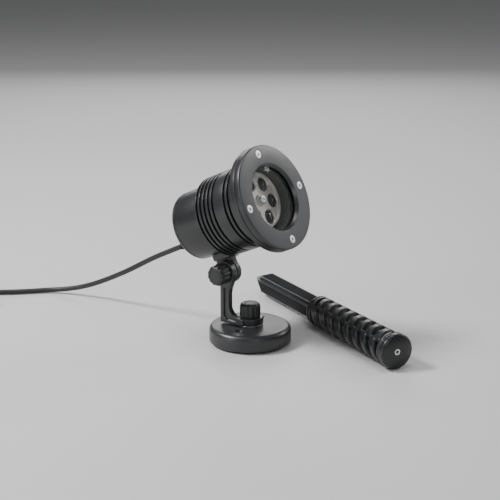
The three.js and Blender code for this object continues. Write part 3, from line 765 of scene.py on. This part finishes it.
def silver_lacquer():
    """Silver lacquer on a moulding: metal flake finer than a millimetre in a warm grey."""
    made = material("silver_lacquer", "ebe7de", 0.34, 0.3)
    place = node(made, "TexCoord").outputs["Object"]
    flake = node(made, "TexVoronoi", {"Scale": 2600.0}, Vector=place)
    uneven_shine(made, flake.outputs["Distance"], 0.26, 0.46)
    return made


lacquer = silver_lacquer()
wheel = turned_piece("pattern_wheel", [
    (1.8, 17.3), (6, 17.3, 0.8), (6, 19.5, 0.6), (27, 19.5, 0.6), (27, 17.5, 0.7),
    (29, 17.5, 0.9), (29, 22.5, 0.5), (1.8, 22.5),
], "lens_wheel", lacquer, HEAD, wheel_axis, 160)  # fmt: skip
lens_places = spread_round(LENS_CIRCLE, LENS_TURN, 6, WHEEL_UP)
bores = [
    turned_piece(f"lens_bore_{i}", [
        (0, 0), (8.2, 0), (8.2, 19.4), (7.2, 20.4), (7.2, 40), (0, 40),
    ], None, lacquer, HEAD, place, 64)
    for i, place in enumerate(lens_places)
]  # fmt: skip
reshaped(wheel, "DIFFERENCE", bores)
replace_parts(wheel, "lens_wheel")


def dark_lens():
    """Smoked glass: near black, with a wet shine and a faint depth to its colour."""
    made = material("smoked_lens_glass", "1b1a1c", 0.06, Coat_Weight=0.6, Coat_Roughness=0.03)
    place = node(made, "TexCoord").outputs["Object"]
    cloud = node(made, "TexNoise", {"Scale": 90.0, "Detail": 2.0}, Vector=place)
    tone = node(made, "ValToRGB", Fac=cloud.outputs["Fac"])
    tone.color_ramp.elements[0].color = [*rgb("151416"), 1]
    tone.color_ramp.elements[1].color = [*rgb("242326"), 1]
    wire(made, tone.outputs["Color"], "Base Color")
    return made


smoked = dark_lens()
for i, place in enumerate(lens_places):
    lens = turned_piece(f"pattern_lens_{i + 1}", [
        (0, 17.9), (3.4, 18.3, 8), (6.2, 19.7, 1.2), (LENS_RADIUS, 21.2, 0.6),
        (LENS_RADIUS, 22.3), (0, 22.3),
    ], "lens_wheel", smoked, HEAD, place, 64)  # fmt: skip
    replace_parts(lens, f"wheel_lens_{i + 1}")
hub_screw = turned_piece("hub_screw", [
    (0, 14.8), (4.8, 14.8, 1.7), (4.8, 17, 0.2), (1.5, 17), (1.5, 19.4), (0, 19.4),
], "lens_wheel", plated, HEAD, wheel_axis, 64)  # fmt: skip
reshaped(hub_screw, "DIFFERENCE", [socket_cutter(16, wheel_axis)])
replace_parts(hub_screw, "wheel_screw")

# ---------------------------------------------------------------- drive and light source
# Behind the wheel: the motor on a pressed aluminium bracket, a clear condenser plate, and a board
# with four domed LEDs. Further back: the driver's board, its transformer and the radio module.
def pressed_aluminium():
    """Rolled sheet: bright, with the mill's fine straight lines 0.3 mm apart."""
    made = material("rolled_aluminium_sheet", "c4c5c6", 0.34, 1.0)
    place = node(made, "TexCoord").outputs["Object"]
    drawn = node(made, "Mapping", {"Scale": (3300.0, 150.0, 150.0)}, Vector=place)
    lines = node(made, "TexNoise", {"Scale": 1.0, "Detail": 2.0}, Vector=drawn.outputs[0])
    uneven_shine(made, lines.outputs["Fac"], 0.27, 0.45)
    return made


def solder_resist():
    """Green solder resist over copper: a thin gloss whose tone shifts where tracks run beneath."""
    made = material("green_solder_resist", "1f6b3f", 0.4)
    place = node(made, "TexCoord").outputs["Object"]
    tracks = node(made, "TexBrick", {"Scale": 260.0, "Mortar Size": 0.08}, Vector=place)
    tracks.inputs["Color1"].default_value = [*rgb("1b5f38"), 1]
    tracks.inputs["Color2"].default_value = [*rgb("1e6a3e"), 1]
    tracks.inputs["Mortar"].default_value = [*rgb("2f8a55"), 1]
    wire(made, tracks.outputs["Color"], "Base Color")
    return made


def clear_resin():
    """Clear moulded resin of lenses and LED domes, with slight flow clouds."""
    made = material("clear_moulded_resin", "e9eef0", 0.08, Alpha=0.35)
    place = node(made, "TexCoord").outputs["Object"]
    cloud = node(made, "TexNoise", {"Scale": 200.0}, Vector=place)
    uneven_shine(made, cloud.outputs["Fac"], 0.04, 0.14)
    return made


refinish(plated, "wheel_motor")
refinish(pressed_aluminium(), "motor_bracket")
refinish(solder_resist(), "led_board", "driver_board", "radio_module")
refinish(clear_resin(), "condenser_plate", *[f"led_{i}" for i in range(1, 5)])
refinish(black_abs, "driver_transformer")

# ---------------------------------------------------------------- rear housing and cover
# A smaller cast can behind the body holds the driver. Its cover has a broad rounded rim and four
# socket screws sunk in it.
COVER_FRONT, COVER_BACK, COVER_SCREW_CIRCLE = 106.3, 111.5, 27
rear = turned_piece("rear_can", [
    (5, 71.3), (REAR_RADIUS, 71.3, 0.8), (REAR_RADIUS, 106, 0.25), (33.1, 106), (33.1, 74),
    (5, 74),
], "head", body_coat, HEAD, FACE_CENTRE, 192)  # fmt: skip
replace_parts(rear, "rear_housing")
cover = turned_piece("rear_lid", [
    (0, COVER_FRONT), (REAR_RADIUS, COVER_FRONT, 0.25), (REAR_RADIUS, COVER_BACK, 4.6),
    (0, COVER_BACK),
], "head", body_coat, HEAD, FACE_CENTRE, 192)  # fmt: skip
lid_screw_places = spread_round(COVER_SCREW_CIRCLE, 45, 4)
pockets = [
    turned_piece(f"pocket_{i}", [
        (0, COVER_BACK - 2.6), (3.7, COVER_BACK - 2.6), (3.7, COVER_BACK + 1),
        (0, COVER_BACK + 1),
    ], None, body_coat, HEAD, place, 48)
    for i, place in enumerate(lid_screw_places)
]  # fmt: skip
reshaped(cover, "DIFFERENCE", pockets)
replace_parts(cover, "rear_cover")
for i, place in enumerate(lid_screw_places):
    screw = turned_piece(f"lid_screw_{i + 1}", [
        (0, COVER_BACK - 2.4), (3.3, COVER_BACK - 2.4), (3.3, COVER_BACK - 0.4, 0.4),
        (0, COVER_BACK - 0.4),
    ], "head", plated, HEAD, place, 48)  # fmt: skip
    key = socket_cutter(4, place + (COVER_BACK + 0.4) * BACKWARDS)
    reshaped(screw, "DIFFERENCE", [key])
    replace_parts(screw, f"rear_cover_screw_{i + 1}")

# ---------------------------------------------------------------- gland and strain relief
# The lead comes out low on the cover through a moulded gland, and a tapered, ringed rubber sleeve
# keeps it from kinking where it leaves.
GLAND_UP, RELIEF_START, RELIEF_END = -15, 116.3, 138
gland_axis = in_head(0, 0, GLAND_UP)
gland = turned_piece("lead_gland", [
    (0, 111.8), (8.6, 111.8, 0.3), (8.6, 116, 1.2), (6.2, 116), (0, 116),
], "head", black_abs, HEAD, gland_axis, 96)  # fmt: skip
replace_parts(gland, "cable_gland")


def relief_corners():
    """A cone from 6 down to 3.5 mm radius, cut by seven ring grooves that close towards its end."""
    def cone(back):
        return 6 - 2.5 * (back - RELIEF_START) / (RELIEF_END - RELIEF_START)

    corners = [(0, RELIEF_START), (cone(RELIEF_START), RELIEF_START, 0.4)]
    for i in range(7):
        start = RELIEF_START + 3 + 2.6 * i
        corners += [
            (cone(start), start, 0.3), (cone(start) - 0.9, start + 0.4, 0.3),
            (cone(start) - 0.9, start + 1.1, 0.3), (cone(start + 1.5), start + 1.5, 0.3),
        ]  # fmt: skip
    return [*corners, (cone(RELIEF_END), RELIEF_END, 0.4), (0, RELIEF_END)]


relief = turned_piece("lead_sleeve", relief_corners(), "head", rubber,
                      HEAD, gland_axis, 64)  # fmt: skip
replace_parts(relief, "strain_relief")

# ---------------------------------------------------------------- ground stake
# A stake moulded in black polypropylene: a pointed spike of four crossed fins, a ribbed grip with
# four spines, and a flat cap with a plated threaded insert that takes the bracket's bolt.
STAKE_TIP = np.array([144.7, 93.9, 14.5])
STAKE_CAP = np.array([17.4, -162, 17.9])
STAKE_LENGTH = float(np.linalg.norm(STAKE_CAP - STAKE_TIP))
STAKE_ALONG = (STAKE_CAP - STAKE_TIP) / STAKE_LENGTH
STAKE_ACROSS = np.cross(STAKE_ALONG, (0, 0, 1)) / np.linalg.norm(np.cross(STAKE_ALONG, (0, 0, 1)))
STAKE_UP = np.cross(STAKE_ACROSS, STAKE_ALONG)
STAKE = np.array([-STAKE_ACROSS, STAKE_UP, STAKE_ALONG])
FIN_RADIUS, FIN_HALF, FIN_POINT, TIP_RADIUS = 12.5, 2.4, 26, 0.7
GRIP_START, CAP_LENGTH, CAP_RADIUS = 138.6, 11, 17.8
GRIP_RADII, GRIP_CORE = (16, 16.8), 12
RIB_COUNT = 8
FIRST_FIN = 52.5  # degrees round the stake
SPINE_HALF_WIDTH = 5  # degrees
INSERT_HOLE, INSERT_DEPTH = 3.5, 13.5


def spike():
    """A cross of four fins: each ring of the outline is fin reach times one set of directions plus
    half thickness times another, and both sizes grow from the point along the taper."""
    along = np.concatenate([
        [0, 0.4], np.linspace(1.5, FIN_POINT, 14), np.linspace(30, GRIP_START + 2, 30),
    ])  # fmt: skip
    grown = np.clip(along / FIN_POINT, 0, 1)
    reach = TIP_RADIUS + (FIN_RADIUS - TIP_RADIUS) * grown
    half = np.minimum(FIN_HALF, 0.45 * reach)
    tip_turn = np.radians(np.linspace(-80, 80, 7))
    rows = []
    for quarter in range(4):
        turn = math.radians(FIRST_FIN + 90 * quarter)
        out = np.array([math.cos(turn), math.sin(turn)])
        side = np.array([-out[1], out[0]])
        root = [(1.45, -1.0), (1.9, -0.97)]
        for o, s in root:
            rows.append((o * half)[:, None] * out + (s * half)[:, None] * side)
        for a in tip_turn:
            o = reach - 0.3 * half * (1 - math.cos(a))
            s = 0.92 * half * math.sin(a) / math.sin(tip_turn[-1])
            rows.append(o[:, None] * out + s[:, None] * side)
        for o, s in reversed(root):
            rows.append((o * half)[:, None] * out + (-s * half)[:, None] * side)
    flat = np.stack(rows, axis=1)
    points = flat[..., :1] * STAKE[0] + flat[..., 1:] * STAKE[1] + along[:, None, None] * STAKE[2]
    columns = flat.shape[1]
    ends = [list(range(columns)), list(range(columns * (len(along) - 1), columns * len(along)))]
    faces = [*grid_faces(len(along), columns, True), *ends]
    return piece("stake_spike", points + STAKE_TIP, faces, "stake", stake_plastic)


def smooth_step(x):
    """Eases from 0 to 1 as x goes from 0 to 1."""
    x = np.clip(x, 0, 1)
    return x * x * (3 - 2 * x)


def ring_cut(along, middle, half_width, depth):
    """How deep a round-lipped ring groove is at each place along a turned piece."""
    return np.exp(-(((along - middle) / half_width) ** 4)) * depth


def end_rounding(distance, reach, depth):
    """How far a surface draws in near an end, from nothing at the reach to the depth at the end."""
    return np.clip(1 - distance / reach, 0, 1) ** 2 * depth


def grip():
    """A turned grip whose radius is the larger of its spines and its ribs. A spine is a band round
    each diagonal. A rib is a rounded wave along the grip, leaning a little across each quarter."""
    along = np.linspace(GRIP_START, STAKE_LENGTH, 340)
    turn = np.linspace(0, 2 * np.pi, 241)[:, None]
    rib_start, rib_end = GRIP_START + 8, STAKE_LENGTH - CAP_LENGTH - 1
    pitch = (rib_end - rib_start) / RIB_COUNT
    full = GRIP_RADII[0] + (GRIP_RADII[1] - GRIP_RADII[0]) * (along - GRIP_START) / 125
    quarter = (np.degrees(turn) - FIRST_FIN) % 90
    spine = smooth_step(1 - (np.minimum(quarter, 90 - quarter) - SPINE_HALF_WIDTH) / 3)
    lean = (45 - quarter) / 90 * 0.48
    phase = (along - rib_start) / pitch + lean
    rib = smooth_step((np.cos(2 * np.pi * (phase - 0.5)) + 0.35) * 1.3)
    inside = smooth_step((along - rib_start) / 1.6) * smooth_step((rib_end - along) / 1.6)
    raised = np.maximum(rib, spine * 0.92)
    radius = full - (full - GRIP_CORE) * (1 - raised) * inside
    radius = radius - ring_cut(along, GRIP_START + 4.4, 0.9, 1.3)
    radius = radius - end_rounding(along - GRIP_START, 1.2, 1.2)
    cap_start = STAKE_LENGTH - CAP_LENGTH
    radius = radius + smooth_step((along - cap_start) / 2.2) * (CAP_RADIUS - full)
    radius = radius - ring_cut(along, cap_start + 3.4, 0.7, 0.8)
    radius = radius - end_rounding(STAKE_LENGTH - along, 2.2, 1.9)
    axis, hole = 0 * turn, INSERT_HOLE + 0 * turn
    radius = np.concatenate([axis, radius, hole, hole, axis], axis=1)
    hole_end = STAKE_LENGTH - INSERT_DEPTH
    depth = [GRIP_START, *along, STAKE_LENGTH, hole_end, hole_end]
    spoke = np.cos(turn) * STAKE[0] + np.sin(turn) * STAKE[1]
    points = radius[..., None] * spoke[:, None] + np.array(depth)[None, :, None] * STAKE[2]
    faces = grid_faces(len(turn), len(depth), False)
    return piece("stake_grip", points + STAKE_TIP, faces, "stake", stake_plastic, 50)


stake_plastic = moulded_plastic("black_moulded_polypropylene", "1f2022", 0.29, 0.4)
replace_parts(spike(), "stake_body")
grip()
insert = turned_piece("threaded_insert", [
    (1.7, -12), (3.2, -12), (3.2, -0.2, 0.25), (1.9, -0.2, 0.2), (1.7, -0.6),
], "stake", plated, STAKE, STAKE_CAP, 64)  # fmt: skip
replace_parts(insert, "stake_insert")

# ---------------------------------------------------------------- plug
# A flat two-pin mains plug moulded on the lead's end, with a tapered neck and two round plated pins.
PLUG_LENGTH, PLUG_WIDTH, PLUG_THICK = 36, 26, 13.5
PIN_LENGTH, PIN_SPREAD, PIN_RADIUS = 19, 18.6, 2
PLUG_START = TAIL_RUN + 0.3
PLUG_FACE = PLUG_START + PLUG_LENGTH
PLUG = np.array([-TAIL_OUT, (0, 0, 1), TAIL_ALONG])
PLUG_CENTRE = np.array([*COIL_CENTRE, 0]) + TAIL_RADIUS * TAIL_OUT + (0, 0, TAIL_HEIGHT)


def plug_shell():
    """A loft of rounded rectangles: half width and half thickness grow along the plug by smooth
    steps from the lead's neck to the body, and each ring is a superellipse."""
    along = np.concatenate([[PLUG_START], np.linspace(PLUG_START, PLUG_FACE, 60), [PLUG_FACE]])
    grown = smooth_step((along - PLUG_START - 9) / 11)
    neck = 3.5 + 1.8 * np.clip((along - PLUG_START) / 10, 0, 1)
    wide = neck + (PLUG_WIDTH / 2 - neck) * grown
    thick = neck + (PLUG_THICK / 2 - neck) * grown
    rounding = end_rounding(PLUG_FACE - along, 1.2, 1.0)
    wide, thick = wide - rounding, thick - rounding
    wide[[0, -1]] = thick[[0, -1]] = 0
    power = 2 / (2 + 2.5 * grown)
    turn = np.linspace(0, 2 * np.pi, 97)[:, None]
    x = wide * np.sign(np.cos(turn)) * np.abs(np.cos(turn)) ** power
    z = thick * np.sign(np.sin(turn)) * np.abs(np.sin(turn)) ** power
    points = x[..., None] * PLUG[0] + z[..., None] * PLUG[1] + along[None, :, None] * PLUG[2]
    faces = grid_faces(len(turn), len(along), False)
    return piece("plug_shell", points + PLUG_CENTRE, faces, "arm", black_abs)


plug = plug_shell()
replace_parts(plug, "plug_body")
for i, side in enumerate((-0.5, 0.5)):
    pin = turned_piece(f"mains_pin_{i + 1}", [
        (0, PLUG_FACE + 0.3), (PIN_RADIUS, PLUG_FACE + 0.3),
        (PIN_RADIUS, PLUG_FACE + PIN_LENGTH, 1.2), (0, PLUG_FACE + PIN_LENGTH),
    ], "arm", plated, PLUG, PLUG_CENTRE + side * PIN_SPREAD * TAIL_OUT, 40)  # fmt: skip
    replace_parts(pin, f"plug_pin_{i + 1}")
